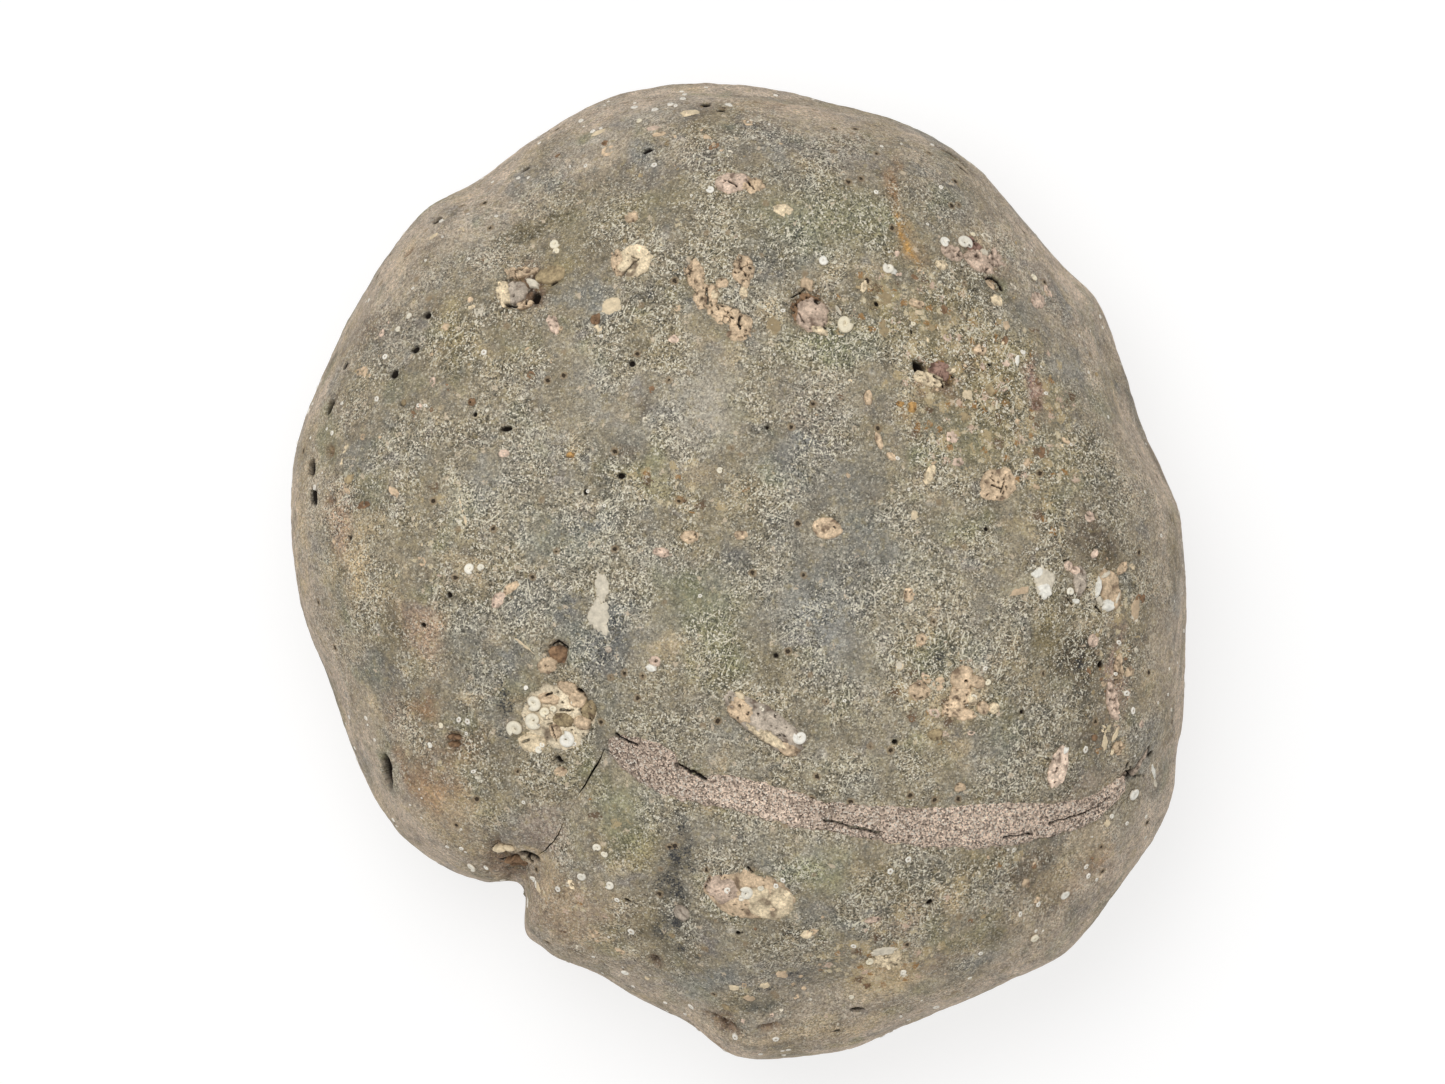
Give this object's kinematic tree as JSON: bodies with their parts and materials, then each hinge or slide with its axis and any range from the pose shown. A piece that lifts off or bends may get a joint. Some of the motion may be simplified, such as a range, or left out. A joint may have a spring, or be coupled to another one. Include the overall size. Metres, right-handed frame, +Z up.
{
  "type": "fossil nodule",
  "caption": "Rounded sea-worn fossil nodule, broken across one end and mended with a strip of sandy mortar; lies on its flat underside.",
  "frame": {"origin": "on the surface the nodule rests on, under the middle of its box", "axes": "+Z up, +Y along its longer plan dimension, away from the mended end, +X to the right seen from above"},
  "size_m": [0.2554, 0.2784, 0.1439],
  "materials": {
    "worn_stone": "matte",
    "sandy_mortar": "matte"
  },
  "bodies": {
    "root": {"main_stone": "worn_stone", "broken_off_piece": "worn_stone", "joint_filler": "sandy_mortar"}
  },
  "joints": []
}
